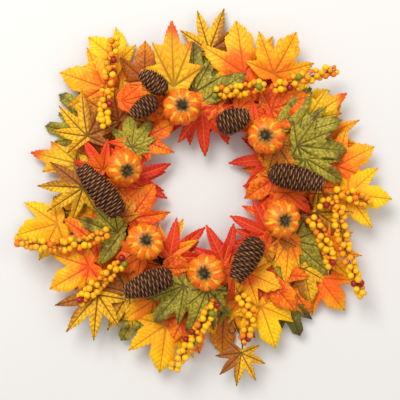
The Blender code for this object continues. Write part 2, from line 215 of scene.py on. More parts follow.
def leafOutlineLoop(kind):
    # the whole outline, second half mirrored: degrees, share of the length, and whether it is a lobe's tip
    half = [(turn, reach, bool(tip)) for turn, reach, *tip in leafOutlines[kind]]
    return half + [(360 - turn, reach, isTip) for turn, reach, isTip in reversed(half[1:-1])]


def flatHeading(turn):
    # degrees clockwise from the tip, as a direction in the flat leaf
    return Vector((math.sin(math.radians(turn)), math.cos(math.radians(turn)), 0))


def leafDisc(kind):
    # a flat disc spun round the vein hub, then pulled out to the outline
    loop = leafOutlineLoop(kind)
    steps = leafMake["stepsPerEdge"]
    rings = leafMake["rings"]
    count = len(loop) * steps
    shape = bmesh.new()
    spoke = [shape.verts.new((0, ring / rings, 0)) for ring in range(rings + 1)]
    edges = [shape.edges.new(pair) for pair in zip(spoke[:-1], spoke[1:])]
    bmesh.ops.spin(shape, geom=spoke + edges, cent=(0, 0, 0), axis=(0, 0, -1), angle=2 * math.pi,
                   steps=count, use_merge=True, use_duplicate=False)
    bmesh.ops.remove_doubles(shape, verts=shape.verts, dist=0.0001)
    for vert in shape.verts:
        share = vert.co.length
        place = round(math.atan2(vert.co.x, vert.co.y) / (2 * math.pi) * count) % count
        edge, rest = divmod(place, steps)
        ends = (loop[edge], loop[(edge + 1) % len(loop)])
        before, after = (flatHeading(turn) * reach for turn, reach, isTip in ends)
        tooth = 1 + leafMake["tooth"] * (rest % 2) * share ** leafMake["toothPower"]
        vert.co = before.lerp(after, rest / steps) * share * tooth
    markLeaf(shape, [turn for turn, reach, isTip in loop if isTip])
    return shape


def markLeaf(shape, tips):
    # UV layers for the print: the leaf's own coordinates, and those across and along the nearest lobe
    leafLayer = shape.loops.layers.uv.new("leaf")
    lobeLayer = shape.loops.layers.uv.new("lobe")
    for face in shape.faces:
        middle = face.calc_center_median()
        heading = math.degrees(math.atan2(middle.x, middle.y))
        nearest = min(tips, key=lambda turn: abs((heading - turn + 180) % 360 - 180))
        axis = flatHeading(nearest)
        for corner in face.loops:
            point = corner.vert.co
            corner[leafLayer].uv = (point.x, point.y)
            corner[lobeLayer].uv = (abs(point.x * axis.y - point.y * axis.x), point.dot(axis))


def pourInto(shape, part):
    # adds one finished bmesh to another
    mesh = bpy.data.meshes.new("pour")
    part.to_mesh(mesh)
    part.free()
    shape.from_mesh(mesh)
    bpy.data.meshes.remove(mesh)


def pressLeaf(disc, kind, bend, phase):
    # pleats between the veins, droop towards the tip, a cup across, and a wave and ripple round the rim
    tips = [math.radians(turn) for turn, reach, isTip in leafOutlineLoop(kind) if isTip]
    for vert in disc.verts:
        x, y = vert.co.x, vert.co.y
        far = math.hypot(x, y)
        turn = math.atan2(x, y)
        off = min(abs(math.remainder(turn - tip, 2 * math.pi)) for tip in tips)
        pleat = leafMake["pleat"] * min(leafMake["pleatReach"], far * math.sin(min(off, leafMake["widest"])))
        droop = -leafMake["droop"] * bend * far * y
        cup = -leafMake["droop"] * bend * x * x
        wave = leafMake["wave"] * math.sin(5 * turn + phase) * far ** 2
        ripple = leafMake["ripple"] * math.sin(11 * turn + 2 * phase) * far
        vert.co.z = pleat + droop + cup + (wave + ripple) * leafMake["curl"].get(kind, 1)


def addLeaf(shape, kind, hub, heading, length, tilt, slot):
    # one curled leaf set on the pick; its tone layer holds a tone of its own and the distance from the hub
    disc = leafDisc(kind)
    bend = chance.uniform(*leafMake["bend"])
    roll = chance.uniform(-leafMake["roll"], leafMake["roll"])
    phase = chance.uniform(*anyTurn)
    tone = chance.uniform(0, 1)
    toneLayer = disc.loops.layers.uv.new("tone")
    for face in disc.faces:
        face.material_index = slot
        for corner in face.loops:
            corner[toneLayer].uv = (tone, min(1.0, corner.vert.co.length))
    pressLeaf(disc, kind, bend, phase)
    bmesh.ops.solidify(disc, geom=disc.faces, thickness=leafMake["thickness"] / length)
    across = Vector((heading.z, 0, -heading.x))
    stand = Matrix((across, heading, towardsFront)).transposed().to_4x4()
    place = (Matrix.Translation(hub) @ stand @ Matrix.Rotation(math.radians(tilt), 4, "X")
             @ Matrix.Rotation(math.radians(roll), 4, "Y") @ Matrix.Scale(length, 4))
    bmesh.ops.transform(disc, matrix=place, verts=disc.verts)
    for vert in disc.verts:
        behind = vert.co.y - leafMake["backLimit"]
        if behind > 0:
            vert.co.y -= leafMake["backPress"] * behind
    pourInto(shape, disc)


def addStem(shape, points, radius, slot=0, cyclic=False, detail=2):
    # a round wire or stem along a smooth curve through the points
    curve = bpy.data.curves.new("stem", "CURVE")
    curve.dimensions = "3D"
    curve.bevel_depth = radius
    curve.bevel_resolution = detail
    curve.use_fill_caps = not cyclic
    spline = curve.splines.new("POLY")
    spline.points.add(len(points) - 1)
    for corner, point in zip(spline.points, points):
        corner.co = (*point, 1)
    spline.use_cyclic_u = cyclic
    item = bpy.data.objects.new("stem", curve)
    mesh = bpy.data.meshes.new_from_object(item)
    stem = bmesh.new()
    stem.from_mesh(mesh)
    bmesh.ops.recalc_face_normals(stem, faces=stem.faces)
    for face in stem.faces:
        face.material_index = slot
    bpy.data.objects.remove(item)
    bpy.data.curves.remove(curve)
    bpy.data.meshes.remove(mesh)
    pourInto(shape, stem)


def bentPoints(start, middle, end, count=8):
    # points on the smooth arc from start through middle to end
    pull = middle * 2 - (start + end) / 2
    points = []
    for step in range(count + 1):
        share = step / count
        points.append(start * (1 - share) ** 2 + pull * 2 * share * (1 - share) + end * share ** 2)
    return points


# each paint: colour by the veins' meeting point, colour at the rim, vein colour, blotch colour, and how
# strong the blotches are
leafPaints = {
    "yellow": ((0.93, 0.42, 0.004), (0.96, 0.62, 0.004), (0.55, 0.15, 0.006), (0.93, 0.33, 0.006), 0.45),
    "gold": ((0.90, 0.22, 0.004), (0.96, 0.48, 0.004), (0.52, 0.10, 0.006), (0.88, 0.17, 0.006), 0.60),
    "blush": ((0.93, 0.12, 0.006), (0.96, 0.50, 0.010), (0.62, 0.050, 0.006), (0.93, 0.25, 0.008), 0.50),
    "orange": ((0.72, 0.055, 0.003), (0.88, 0.170, 0.003), (0.44, 0.024, 0.005), (0.95, 0.38, 0.010), 0.55),
    "rusty": ((0.50, 0.12, 0.008), (0.86, 0.30, 0.008), (0.13, 0.024, 0.006), (0.26, 0.060, 0.008), 0.70),
    "half": ((0.90, 0.48, 0.008), (0.34, 0.095, 0.010), (0.075, 0.016, 0.006), (0.50, 0.19, 0.010), 0.65),
    "lemonRed": ((0.90, 0.55, 0.012), (0.93, 0.42, 0.010), (0.34, 0.17, 0.010), (0.80, 0.24, 0.010), 0.45),
    "red": ((0.66, 0.026, 0.005), (0.56, 0.008, 0.005), (0.80, 0.13, 0.020), (0.74, 0.065, 0.006), 0.40),
    "scarlet": ((0.86, 0.16, 0.004), (0.72, 0.034, 0.004), (0.52, 0.022, 0.006), (0.92, 0.13, 0.008), 0.50),
    "olive": ((0.46, 0.37, 0.030), (0.285, 0.225, 0.016), (0.070, 0.045, 0.008), (0.62, 0.50, 0.045), 0.80),
    "moss": ((0.16, 0.15, 0.016), (0.090, 0.090, 0.012), (0.035, 0.024, 0.008), (0.27, 0.23, 0.024), 0.70),
}


# weave is how strong the fine dark mottle is, which is partly painted shade, and shade is its colour
leafPrint = {"sideVeins": 9.0, "veins": 0.80, "specks": 0.30, "browned": 0.85, "weaveAndShade": 0.55,
             "redEdge": (0.82, 0.045, 0.008), "brown": (0.105, 0.045, 0.016), "shade": (0.125, 0.100, 0.010)}


def leafVeins(paint, fine):
    # main veins taper from the hub to each lobe's tip, and side veins leave them in a herringbone
    lobe = paint.layer("lobe")
    width = paint.calc("MULTIPLY_ADD", lobe[1], -0.014, 0.022)
    mainVein = paint.ramp(paint.calc("DIVIDE", lobe[0], width), 1.3, 0.5)
    wander = paint.calc("MULTIPLY_ADD", fine, 0.10, -0.05)
    slant = paint.calc("ADD", paint.calc("MULTIPLY_ADD", lobe[0], -0.9, lobe[1]), wander)
    beat = paint.calc("FRACT", paint.calc("MULTIPLY", slant, leafPrint["sideVeins"]))
    sideVein = paint.ramp(paint.calc("ABSOLUTE", paint.calc("SUBTRACT", beat, 0.5)), 0.16, 0.03)
    sideVein = paint.calc("MULTIPLY", sideVein, paint.ramp(lobe[0], 0.34, 0.05))
    return paint.calc("MAXIMUM", mainVein, paint.calc("MULTIPLY", sideVein, 0.60))


def leafBrowning(paint, colour, tone, fine):
    # dry patches, and a darker fine mottle on the green leaves that is partly the cloth's weave and partly
    # painted shade in its crinkles
    patch = paint.calc("MULTIPLY_ADD", tone[1], 0.16, paint.noise(58, 3))
    browned = paint.ramp(paint.calc("ADD", patch, paint.calc("MULTIPLY", fine, 0.35)), 0.76, 0.94)
    colour = paint.over(colour, browned, leafPrint["browned"], leafPrint["brown"])
    # painted shade: a fine noise darkens the leaf towards the shade colour, standing in part for the shade in
    # the cloth's crinkles
    weaveAndShade = paint.ramp(paint.noise(330, 3, 0.7), 0.40, 0.62)
    return paint.over(colour, weaveAndShade, leafPrint["weaveAndShade"], leafPrint["shade"])


def leafPaint(name):
    centre, rim, vein, blotch, amount = leafPaints[name]
    paint = Nodes("leaf_" + name)
    leaf = paint.layer("leaf")
    tone = paint.layer("tone")
    cloudy = paint.noise(42, 4)
    fine = paint.noise(260, 4, 0.65)
    veins = leafVeins(paint, fine)
    # the print runs from the centre colour to the rim colour, shifted from leaf to leaf
    shift = paint.calc("MULTIPLY_ADD", tone[0], 0.5, -0.25)
    clouds = paint.calc("MULTIPLY_ADD", cloudy, 1.1, -0.55)
    spread = paint.calc("ADD", paint.calc("ADD", tone[1], shift), clouds)
    if name == "half":
        across = paint.calc("MULTIPLY_ADD", leaf[0], 2.6, 0.30)
        spread = paint.calc("ADD", across, paint.calc("SUBTRACT", fine, 0.4))
    colour = paint.mix(paint.ramp(spread, 0.25, 0.72), centre, rim)
    if name == "lemonRed":
        edge = paint.calc("ADD", tone[1], paint.calc("MULTIPLY", leaf[0], 0.5))
        edge = paint.calc("ADD", edge, paint.calc("MULTIPLY", fine, 0.2))
        colour = paint.mix(paint.ramp(edge, 0.78, 1.0), colour, leafPrint["redEdge"])
    blotches = paint.ramp(paint.calc("MULTIPLY_ADD", cloudy, 0.5, fine), 0.66, 0.90)
    colour = paint.over(colour, blotches, amount, blotch)
    if name in ("olive", "moss"):
        colour = leafBrowning(paint, colour, tone, fine)
    specks = paint.ramp(paint.noise(620, 2, 0.6), 0.60, 0.70)
    colour = paint.over(colour, specks, leafPrint["specks"], vein)
    colour = paint.over(colour, veins, leafPrint["veins"], vein)
    paint.bump(paint.calc("MULTIPLY_ADD", veins, -0.8, fine), 0.55, 0.0010)
    return paint.done(colour, paint.calc("MULTIPLY_ADD", fine, 0.25, 0.42), 0.22)


paints = {name: leafPaint(name) for name in leafPaints}


def plainPaint(name, dark, light, grain, roughness, bumpStrength=0.4):
    paint = Nodes(name)
    mottle = paint.noise(grain, 5)
    colour = paint.mix(paint.ramp(mottle, 0.35, 0.68), dark, light)
    paint.bump(mottle, bumpStrength, 0.0012)
    return paint.done(colour, roughness, 0.3)


stemPaint = plainPaint("stem_wrap", (0.030, 0.014, 0.007), (0.12, 0.050, 0.016), 160, 0.7)
greenStemPaint = plainPaint("spray_stem", (0.090, 0.045, 0.010), (0.26, 0.150, 0.022), 160, 0.6)

# leaves on each pick: outline, paint, hour and mm outside the ring line of the hub where its veins meet,
# lean in degrees clockwise from straight outwards, length in mm, degrees that its tip stands towards the
# front, and mm that it sits in front of the pick's own plane
pickLeaves = {
    "green_pick_upper_left": (
        ("oak", "olive", 10.15, 66, 0, 54, 8, 0), ("oak", "olive", 9.85, 68, -14, 50, 6, 0),
        ("maple", "olive", 10.15, 3, 48, 36, 16, 23), ("oak", "olive", 10.05, 0, 96, 42, 12, 25)),
    "green_pick_top": (
        ("oak", "olive", 11.85, 22, 2, 64, 14, 14), ("leaf", "olive", 0.08, 12, 54, 60, 16, 22),
        ("oak", "olive", 0.15, 26, 14, 54, 8, 10), ("oak", "moss", 0.5, 34, 24, 52, 8, 2)),
    "green_pick_right": (
        ("leaf", "olive", 1.72, 24, -14, 64, 16, 16), ("oak", "olive", 1.98, 40, 14, 56, 20, 20),
        ("oak", "olive", 2.15, 30, 34, 62, 14, 22), ("oak", "olive", 2.42, 34, 50, 54, 16, 22),
        ("leaf", "moss", 2.30, 10, 52, 54, 10, 16), ("oak", "olive", 2.05, 14, 18, 46, 10, 14)),
    "green_pick_lower_left": (
        ("oak", "olive", 8.12, 15, 42, 52, 16, 20), ("leaf", "olive", 8.1, 10, -28, 50, 14, 18),
        ("oak", "moss", 8.7, 52, 8, 50, 5, 0)),
    "green_pick_lower_right": (
        ("oak", "olive", 3.95, 28, 16, 64, 15, 16), ("leaf", "olive", 4.35, 16, 22, 46, 14, 18),
        ("broad", "gold", 3.95, 22, 66, 58, 12, 20)),
    "green_pick_bottom": (
        ("oak", "olive", 6.35, 18, 30, 60, 14, 16), ("oak", "olive", 5.9, 20, 24, 62, 12, 18),
        ("oak", "olive", 6.9, 68, 8, 48, 4, 4)),
    "maple_pick_top": (
        ("star", "half", 0.1, 78, 17, 58, 10, 4), ("maple", "rusty", 11.1, 56, 25, 50, 12, 8),
        ("broad", "lemonRed", 11.5, 34, 12, 82, 16, 16), ("star", "rusty", 0.25, 50, 22, 46, 6, 2)),
    "maple_pick_top_right": (
        ("maple", "blush", 0.65, 56, -26, 68, 10, 6), ("maple", "gold", 1.05, 72, -1, 60, 12, 10),
        ("maple", "scarlet", 0.9, 40, -8, 52, 5, 4)),
    "maple_pick_upper_right": (
        ("star", "gold", 2.2, 66, 0, 54, 8, 4), ("broad", "lemonRed", 1.85, 60, 4, 60, 14, 10),
        ("maple", "orange", 1.35, 32, 30, 54, 12, 14), ("maple", "yellow", 1.7, 62, 6, 46, 4, 2)),
    "maple_pick_right": (
        ("maple", "blush", 2.65, 72, -16, 54, 12, 6), ("maple", "yellow", 3.05, 84, 4, 56, 12, 8),
        ("star", "half", 3.35, 46, 26, 54, 10, 6), ("maple", "orange", 2.95, 44, 2, 50, 5, 4)),
    "maple_pick_lower_right": (
        ("maple", "blush", 4.22, 84, 17, 54, 10, 8), ("star", "gold", 3.85, 66, 24, 56, 12, 12),
        ("maple", "half", 4.25, 60, 40, 46, 8, 12), ("maple", "orange", 3.8, 46, 20, 50, 5, 4)),
    "maple_pick_bottom_right": (
        ("maple", "orange", 4.75, 30, 0, 60, 12, 10), ("maple", "yellow", 5.1, 62, 5, 56, 12, 10),
        ("oak", "moss", 4.75, 72, 16, 52, 4, -2), ("maple", "blush", 5.05, 14, -40, 48, 14, 16),
        ("maple", "orange", 4.55, 56, 10, 52, 6, 2)),
    "maple_pick_bottom": (
        ("maple", "rusty", 5.65, 50, 12, 62, 3, 4), ("maple", "orange", 5.45, 40, -6, 52, 4, 5),
        ("maple", "gold", 5.35, 42, 2, 52, 4, 8)),
    "maple_pick_bottom_left": (
        ("maple", "orange", 6.25, 56, -30, 54, 8, 8), ("maple", "yellow", 6.5, 74, -9, 62, 12, 10),
        ("maple", "gold", 6.8, 48, 30, 46, 10, 14), ("maple", "scarlet", 6.55, 34, 4, 52, 4, 4)),
    "star_pick_lower_left": (
        ("star", "half", 7.2, 56, -9, 56, 12, 12), ("star", "half", 7.5, 84, -2, 62, 14, 16),
        ("maple", "blush", 7.87, 70, 4, 58, 10, 10), ("maple", "orange", 8.15, 48, 14, 54, 8, 8)),
    "maple_pick_left": (
        ("maple", "yellow", 8.57, 88, -1, 56, 10, 4), ("broad", "lemonRed", 9.4, 56, 4, 66, 12, 4),
        ("maple", "gold", 8.95, 36, -10, 54, 5, 2)),
    "star_pick_left": (
        ("star", "half", 9.05, 48, 2, 58, 14, 10), ("star", "half", 9.85, 58, 56, 58, 12, 14),
        ("red", "scarlet", 9.4, 24, 44, 46, 12, 12)),
    "maple_pick_upper_left": (
        ("maple", "yellow", 10.9, 96, -16, 50, 10, 4), ("maple", "blush", 10.55, 80, -28, 60, 10, 8),
        ("maple", "gold", 10.75, 56, 8, 52, 4, 2)),
    "orange_pick_upper_left": (
        ("broad", "blush", 10.6, 48, 122, 48, 27, 26), ("maple", "rusty", 10.35, 36, -10, 50, 10, 6),
        ("maple", "orange", 10.35, -4, 112, 48, 8, 14), ("maple", "orange", 11.3, 34, -10, 50, 8, 6)),
    "red_pick_top": (
        ("red", "red", 0.0, -4, 176, 58, 2, 6), ("red", "red", 0.3, -2, 150, 46, 4, 3),
        ("red", "scarlet", 11.75, -2, -168, 44, 2, 3)),
    "red_pick_upper_right": (
        ("red", "red", 2.2, -6, -158, 56, 8, 6), ("maple", "orange", 2.65, -6, 160, 50, 8, 12),
        ("maple", "scarlet", 2.9, -8, -172, 44, 4, 6)),
    "red_pick_lower_right": (
        ("red", "red", 4.1, -4, 172, 54, 8, 16), ("red", "red", 4.3, -6, 120, 46, 6, 12),
        ("red", "scarlet", 3.75, -8, -176, 42, 4, 8)),
    "red_pick_bottom": (
        ("red", "red", 5.45, -10, 174, 52, 8, 14), ("red", "red", 5.3, -12, -150, 46, 6, 10)),
    "red_pick_lower_left": (
        ("red", "red", 6.86, -12, -154, 58, 8, 16), ("red", "gold", 6.95, -12, 172, 50, 10, 14),
        ("red", "red", 6.7, -10, -110, 46, 4, 10)),
    "red_pick_left": (
        ("red", "red", 9.35, -12, 154, 54, 8, 10), ("red", "red", 9.3, -14, -162, 52, 6, 8),
        ("maple", "orange", 8.3, -8, 146, 54, 8, 14)),
}

# leaves that fill the gaps: two rows behind the picks' own, and one row across the ring between the
# pumpkins; pairs of numbers are the limits of a random draw
fillLook = {"behind": 34, "behindRows": (10, 34), "behindLength": (50, 58), "behindTilt": 4,
            "behindDepth": (-1, 5), "oliveBack": 3, "acrossRing": 22, "acrossOutside": (0, 10),
            "acrossLean": (62, 100), "acrossLength": (38, 46), "acrossTilt": 6, "acrossDepth": 15}
fillKinds = (("maple", "orange"), ("maple", "gold"), ("broad", "olive"), ("maple", "rusty"),
             ("maple", "scarlet"), ("maple", "olive"))
acrossKinds = (("maple", "orange"), ("maple", "scarlet"), ("red", "scarlet"), ("maple", "rusty"))


def strewnHour(index, count, wander):
    return 12 * (index + 0.5) / count + chance.uniform(-wander, wander)


def fillBehind():
    rows = []
    for index in range(fillLook["behind"]):
        # the uneven step keeps two neighbours from being alike
        kind, paint = fillKinds[(index * 5 if index % 3 else index // 3) % len(fillKinds)]
        hour = strewnHour(index, fillLook["behind"], 0.12)
        outside = fillLook["behindRows"][index % 2] + chance.uniform(-4, 4)
        lean = chance.uniform(-40, 40)
        length = chance.uniform(*fillLook["behindLength"])
        forward = chance.uniform(*fillLook["behindDepth"])
        if paint == "olive":
            forward -= fillLook["oliveBack"]
        rows.append((kind, paint, hour, outside, lean, length, fillLook["behindTilt"], forward))
    return rows


def fillAcross():
    rows = []
    for index in range(fillLook["acrossRing"]):
        kind, paint = acrossKinds[index % len(acrossKinds)]
        hour = strewnHour(index, fillLook["acrossRing"], 0.1)
        outside = chance.uniform(*fillLook["acrossOutside"])
        lean = (1 if index % 2 else -1) * chance.uniform(*fillLook["acrossLean"])
        length = chance.uniform(*fillLook["acrossLength"])
        forward = fillLook["acrossDepth"] + chance.uniform(-1, 2)
        rows.append((kind, paint, hour, outside, lean, length, fillLook["acrossTilt"], forward))
    return rows


def nearestPick(hour):
    # by the place of its first leaf; the red picks stand last, since fillers belong to the outer ones
    def gap(node):
        return abs(math.remainder(pickLeaves[node][0][2] - hour, 12)) + 9 * ("red" in node)
    return min(pickLeaves, key=gap)


def fillLeaves():
    # a filler's depth is counted from the ring's own plane, so the pick's is added
    extra = {node: [] for node in pickLeaves}
    for *row, forward in fillBehind() + fillAcross():
        node = nearestPick(row[2])
        extra[node].append((*row, forward + pickDepth(node)))
    return extra


def pickDepth(node):
    low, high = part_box(node)
    return (low[1] + high[1]) / 2 * 1000


# a leaf's wire stem: mm from the ring line and mm behind it that it leaves the ring, and in metres how far
# it sags behind the leaf, how far under the cloth it ends, and its radius
leafStem = {"outside": 6, "depth": 4, "sag": 0.004, "under": 0.0006, "radius": 0.0008}


def makePick(node, leaves):
    names = sorted({leaf[1] for leaf in leaves})
    shape = bmesh.new()
    for kind, paint, hour, outside, lean, length, tilt, forward in leaves:
        hub = clockPoint(hour, outside, pickDepth(node) - forward)
        addLeaf(shape, kind, hub, clockHeading(hour, lean), length / 1000, tilt, names.index(paint))
        foot = clockPoint(hour, math.copysign(leafStem["outside"], outside or -1), leafStem["depth"])
        middle = (foot + hub) / 2 - towardsFront * leafStem["sag"]
        end = hub - towardsFront * leafStem["under"]
        addStem(shape, bentPoints(foot, middle, end), leafStem["radius"], len(names))
    finishPiece(node + "_cloth", shape, [paints[name] for name in names] + [stemPaint], node)


# ribs and the pit round the stalk, the foam's thickness, and for each pumpkin the degrees that its face is
# turned down and to the right; stub and post are radii
pumpkinLook = {"ribs": 9, "ribDepth": 0.12, "pitRadius": 0.0056, "pitDepth": 0.0040, "depth": 0.034,
               "leans": ((-2, 2), (20, 22), (3, -8), (-9, 9), (-2, -10), (5, 10)),
               "post": 0.0022, "stub": (0.0034, 0.0024), "stubBend": 0.0012}


def pumpkinPaint():
    paint = Nodes("pumpkin_skin")
    rib = paint.layer("rib")
    around = paint.layer("around")
    cloudy = paint.noise(95, 4, 0.6)
    speck = paint.noise(420, 3, 0.65)
    # streaks run from the stalk outwards, so the noise is stretched that way
    stretched = paint.add("ShaderNodeCombineXYZ")
    for socket, value in zip(stretched.inputs, (around[0], around[1], paint.calc("MULTIPLY", rib[1], 0.55))):
        paint.join(value, socket)
    streak = paint.noise(4.2, 4, 0.62, stretched.outputs[0])
    mottle = paint.calc("ADD", paint.calc("MULTIPLY_ADD", streak, 1.5, -0.75),
                        paint.calc("MULTIPLY_ADD", cloudy, 0.9, -0.45))
    crease = paint.ramp(paint.calc("ADD", paint.calc("MULTIPLY", rib[0], 0.62), mottle), 0.08, 0.40)
    colour = paint.mix(crease, (0.96, 0.54, 0.022), (0.88, 0.155, 0.004))
    colour = paint.mix(paint.ramp(rib[1], 0.74, 1.0, 0.0, 0.45), colour, (0.78, 0.100, 0.003))
    red = paint.ramp(paint.calc("ADD", paint.calc("MULTIPLY", rib[1], 0.18), streak), 0.62, 0.78)
    colour = paint.over(colour, red, 0.80, (0.68, 0.060, 0.004))
    colour = paint.over(colour, paint.ramp(speck, 0.54, 0.66), 0.40, (0.97, 0.50, 0.060))
    # dark paint sprayed round the stalk, thinning out in specks along the creases
    grain = paint.calc("ADD", paint.calc("MULTIPLY_ADD", cloudy, 0.44, -0.22),
                       paint.calc("MULTIPLY_ADD", speck, 0.30, -0.15))
    reach = paint.calc("ADD", rib[1], paint.calc("MULTIPLY_ADD", rib[0], 0.14, -0.07))
    spray = paint.calc("ADD", reach, grain)
    colour = paint.over(colour, paint.ramp(spray, 0.66, 0.34), 0.78, (0.36, 0.150, 0.012))
    colour = paint.mix(paint.ramp(spray, 0.46, 0.22), colour, (0.055, 0.034, 0.010))
    paint.bump(paint.calc("ADD", cloudy, speck), 0.40, 0.0010)
    return paint.done(colour, 0.45, 0.25)


def makeFoam(number, centre, lean, spin, skin, wood):
    # the ribbed pumpkin with its pit, on a post; UV layers hold the rib, the distance out and the way round
    node = f"pumpkin_{number}"
    low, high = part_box(node)
    width = (high[0] - low[0]) / 2
    shape = bmesh.new()
    bmesh.ops.create_uvsphere(shape, u_segments=90, v_segments=28, radius=1)
    ribLayer = shape.loops.layers.uv.new("rib")
    aroundLayer = shape.loops.layers.uv.new("around")
    marks = {}
    for vert in shape.verts:
        turn = math.atan2(vert.co.y, vert.co.x)
        flat = math.hypot(vert.co.x, vert.co.y)
        rib = abs(math.cos(pumpkinLook["ribs"] * turn / 2))
        swell = 1 - pumpkinLook["ribDepth"] * (1 - rib) ** 1.6 * flat
        wobble = 1 + 0.02 * math.sin(2 * turn + number)
        dimple = math.exp(-(flat * width / pumpkinLook["pitRadius"]) ** 2) * pumpkinLook["pitDepth"]
        marks[vert] = (rib, flat, (math.cos(turn) + number, math.sin(turn)))
        height = vert.co.z * pumpkinLook["depth"] / 2
        vert.co = (vert.co.x * width * swell * wobble, vert.co.y * width * swell * wobble,
                   height - dimple if height > 0 else height + dimple)
    for face in shape.faces:
        for corner in face.loops:
            rib, flat, around = marks[corner.vert]
            corner[ribLayer].uv = (rib, flat if corner.vert.co.z > 0 else 1)
            corner[aroundLayer].uv = around
    place = Matrix.Translation(centre) @ lean @ turnToFront @ spin
    bmesh.ops.transform(shape, matrix=place, verts=shape.verts)
    addStem(shape, [Vector((centre.x, high[1], centre.z)), centre], pumpkinLook["post"], 1)
    finishPiece(f"{node}_foam", shape, [skin, wood], node)


def makeStub(number, centre, lean, spin, wood):
    # a rough, bent stalk stub that leans as the pumpkin does
    node = f"pumpkin_stalk_{number}"
    low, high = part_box(node)
    length = high[1] - low[1]
    foot, tip = pumpkinLook["stub"]
    shape = bmesh.new()
    bmesh.ops.create_cone(shape, cap_ends=True, segments=7, radius1=foot, radius2=tip, depth=length)
    upright = [edge for edge in shape.edges if abs(edge.verts[0].co.z - edge.verts[1].co.z) > length / 2]
    bmesh.ops.subdivide_edges(shape, edges=upright, cuts=3)
    for vert in shape.verts:
        rise = vert.co.z / length + 0.5
        vert.co.x += pumpkinLook["stubBend"] * rise ** 2
        vert.co.xy *= 1 + 0.25 * (rise - 0.5) ** 2 + chance.uniform(-0.05, 0.05)
    out = Matrix.Translation((0, high[1] - length / 2 - centre.y, 0))
    place = Matrix.Translation(centre) @ lean @ out @ turnToFront @ spin
    bmesh.ops.transform(shape, matrix=place, verts=shape.verts)
    finishPiece(f"pumpkin_{number}_stub", shape, [wood], node, smooth=False)


def makePumpkin(number, skin, wood):
    low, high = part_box(f"pumpkin_{number}")
    centre = Vector(((low[0] + high[0]) / 2, low[1] + pumpkinLook["depth"] / 2, (low[2] + high[2]) / 2))
    down, right = pumpkinLook["leans"][number - 1]
    lean = Matrix.Rotation(math.radians(down), 4, "X") @ Matrix.Rotation(math.radians(right), 4, "Z")
    spin = Matrix.Rotation(chance.uniform(*anyTurn), 4, "Z")
    makeFoam(number, centre, lean, spin, skin, wood)
    makeStub(number, centre, lean, spin, wood)


# pine cones: hour and mm outside the ring line of the middle, lean of the narrow end, length in mm, and the
# share of the full radius it is wide
coneLayout = ((11.2, 44, -30, 40, 0.75), (10.85, 22, -88, 38, 0.75), (0.8, -10, 45, 44, 1.0),
              (9.0, 22, 50, 84, 1.0), (2.75, 14, 20, 74, 1.0), (7.0, 30, 40, 68, 1.0), (4.9, -3, 62, 64, 1.0))
# turn is the angle from one scale to the next and lift how far it stands off, both in degrees; the core and
# the scales' seats are shares of the cone's radius and length
coneLook = {"radius": 0.0178, "depth": -43, "rowMm": 3.9, "aroundRow": 8, "turn": 137.508, "lift": 42,
            "liftFall": 22, "scaleWide": 0.0092, "scaleLong": 0.0060, "scaleThick": 0.0008,
            "scaleHollow": 0.0016, "coreWide": 0.72, "coreLong": 0.46, "seatWide": 0.74, "seatLong": 0.90,
            "post": 0.0018, "postReach": 0.3}


def conePaint():
    paint = Nodes("cone_scales")
    scale = paint.layer("scale")
    grain = paint.noise(260, 4)
    # the lip is lighter: partly the scale's own paler edge and partly a painted highlight along each scale's
    # rim
    lip = paint.ramp(paint.calc("ADD", scale[1], paint.calc("MULTIPLY_ADD", grain, 0.20, -0.10)), 0.84, 0.96)
    colour = paint.mix(paint.ramp(grain, 0.38, 0.66), (0.034, 0.011, 0.004), (0.130, 0.044, 0.014))
    colour = paint.over(colour, lip, 0.90, (0.52, 0.240, 0.095))
    paint.bump(grain, 0.5, 0.0006)
    return paint.done(colour, 0.62, 0.25)


def coneSwell(share):
    # the cone's outline: share 0 at the wide base and 1 at the narrow end
    return 1.13 * math.sin(math.pi * (0.14 + 0.78 * share)) ** 0.55 * (1 - 0.26 * share)


def addCore(shape, stand, wide, long):
    # the dark body that the scales grow from
    bmesh.ops.create_uvsphere(shape, u_segments=20, v_segments=14, radius=1)
    shape.loops.layers.uv.new("scale")
    for vert in shape.verts:
        radius = wide * coneLook["coreWide"] * coneSwell((vert.co.z + 1) / 2)
        vert.co = (vert.co.x * radius, vert.co.y * radius, vert.co.z * long * coneLook["coreLong"])
    for face in shape.faces:
        face.material_index = 1
    bmesh.ops.transform(shape, matrix=stand, verts=shape.verts)


def addScale(shape, seat, size):
    # one woody scale, wider and thinner at its lip; its UV layer runs across it and from root to lip
    scale = bmesh.new()
    bmesh.ops.create_uvsphere(scale, u_segments=10, v_segments=4, radius=1)
    mark = scale.loops.layers.uv.new("scale")
    for face in scale.faces:
        for corner in face.loops:
            corner[mark].uv = (corner.vert.co.x, (corner.vert.co.y + 1) / 2)
    for vert in scale.verts:
        x, y, z = vert.co
        reach = (y + 1) / 2
        thick = z * coneLook["scaleThick"] * (1.2 - 0.6 * reach)
        curve = coneLook["scaleThick"] * reach ** 2
        vert.co = (x * coneLook["scaleWide"] * (0.55 + 0.45 * reach) * size, y * coneLook["scaleLong"] * size,
                   thick - coneLook["scaleHollow"] * x ** 2 + curve)
    bmesh.ops.transform(scale, matrix=seat, verts=scale.verts)
    pourInto(shape, scale)


